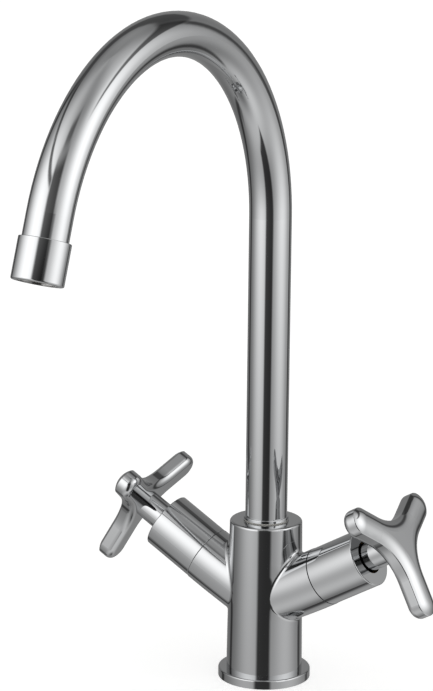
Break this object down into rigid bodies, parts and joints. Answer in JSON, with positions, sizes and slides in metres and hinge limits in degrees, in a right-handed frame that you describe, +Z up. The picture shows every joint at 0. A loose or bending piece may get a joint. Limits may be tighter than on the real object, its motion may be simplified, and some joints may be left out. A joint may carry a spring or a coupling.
{
  "type": "two handle kitchen faucet",
  "caption": "Monobloc kitchen tap: tapered round body on a base ring, tall swivelling arched spout with aerator, two angled arms with three-lobed quarter-turn handles.",
  "frame": {"origin": "centre of the foot, on the plane of the deck that the tap stands on", "axes": "+Z up along the body and the spout's swivel, -Y along the spout towards the user, +X towards the cold valve"},
  "size_m": [0.1998, 0.2651, 0.3649],
  "materials": {
    "chrome_plated_brass": "polished",
    "chrome_plated_zinc": "polished",
    "brass": "machined",
    "rubber": "matte",
    "acetal": "satin",
    "stainless_steel": "brushed",
    "fibre": "matte",
    "ceramic": "lapped"
  },
  "bodies": {
    "tap_body": {"body_casting": "chrome_plated_brass", "inlet_plug": "brass", "base_ring": "chrome_plated_brass", "base_seal": "rubber", "spout_set_screw": "stainless_steel", "hot_valve_body": "brass", "hot_valve_gasket": "fibre", "hot_seat_seal": "rubber", "hot_fixed_disc": "ceramic", "hot_cover": "chrome_plated_brass", "hot_cover_seal": "rubber", "cold_valve_body": "brass", "cold_valve_gasket": "fibre", "cold_seat_seal": "rubber", "cold_fixed_disc": "ceramic", "cold_cover": "chrome_plated_brass", "cold_cover_seal": "rubber"},
    "spout": {"spout_tube": "chrome_plated_brass", "spout_spigot": "chrome_plated_brass", "spout_seals": "rubber", "spout_glide_ring": "acetal", "nozzle_insert": "brass", "aerator_housing": "chrome_plated_brass", "aerator_washer": "rubber", "aerator_core": "acetal", "aerator_screen": "stainless_steel"},
    "hot_handle": {"hot_handle": "chrome_plated_zinc", "hot_handle_screw": "stainless_steel", "hot_spindle": "brass", "hot_spindle_seals": "rubber", "hot_spindle_clip": "stainless_steel", "hot_moving_disc": "ceramic"},
    "cold_handle": {"cold_handle": "chrome_plated_zinc", "cold_handle_screw": "stainless_steel", "cold_spindle": "brass", "cold_spindle_seals": "rubber", "cold_spindle_clip": "stainless_steel", "cold_moving_disc": "ceramic"}
  },
  "joints": [
    {"name": "spout_swivel", "type": "hinge", "parent": "tap_body", "child": "spout", "pos_m": [0, 0, 0.0861], "axis": [0, 0, 1], "continuous": true},
    {"name": "hot_valve", "type": "hinge", "parent": "tap_body", "child": "hot_handle", "pos_m": [-0.06097, 0, 0.0755], "axis": [-0.866, 0, 0.5], "range_deg": [0, 90]},
    {"name": "cold_valve", "type": "hinge", "parent": "tap_body", "child": "cold_handle", "pos_m": [0.06097, 0, 0.0755], "axis": [0.866, 0, 0.5], "range_deg": [0, 90]}
  ]
}
